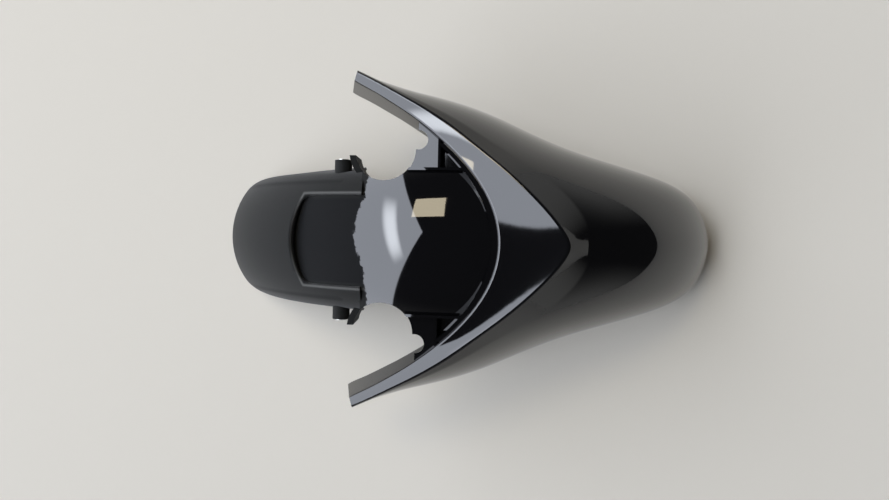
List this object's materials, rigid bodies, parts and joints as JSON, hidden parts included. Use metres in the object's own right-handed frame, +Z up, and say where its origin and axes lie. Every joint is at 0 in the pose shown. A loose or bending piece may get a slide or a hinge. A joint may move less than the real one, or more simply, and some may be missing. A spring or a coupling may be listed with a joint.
{
  "type": "scooter front mudguard",
  "caption": "Moulded scooter front mudguard: gloss black beaked cowl with swept-back wings, satin rear arch with a sunk panel, fork cut-outs and collared side bosses.",
  "frame": {"origin": "centre of the part's box, on the plane that the nose edge and the rear corners stand on", "axes": "+X towards the nose in the direction of travel, +Y to the rider's left, +Z up"},
  "size_m": [0.5548, 0.334, 0.2186],
  "materials": {
    "black_moulding": "gloss black paint on the cowl and channel, fading to bare satin plastic on the rear arch",
    "collar_steel": "turned zinc-plated steel"
  },
  "bodies": {
    "root": {"mudguard": "black_moulding", "left_collar": "collar_steel", "right_collar": "collar_steel"}
  },
  "joints": []
}
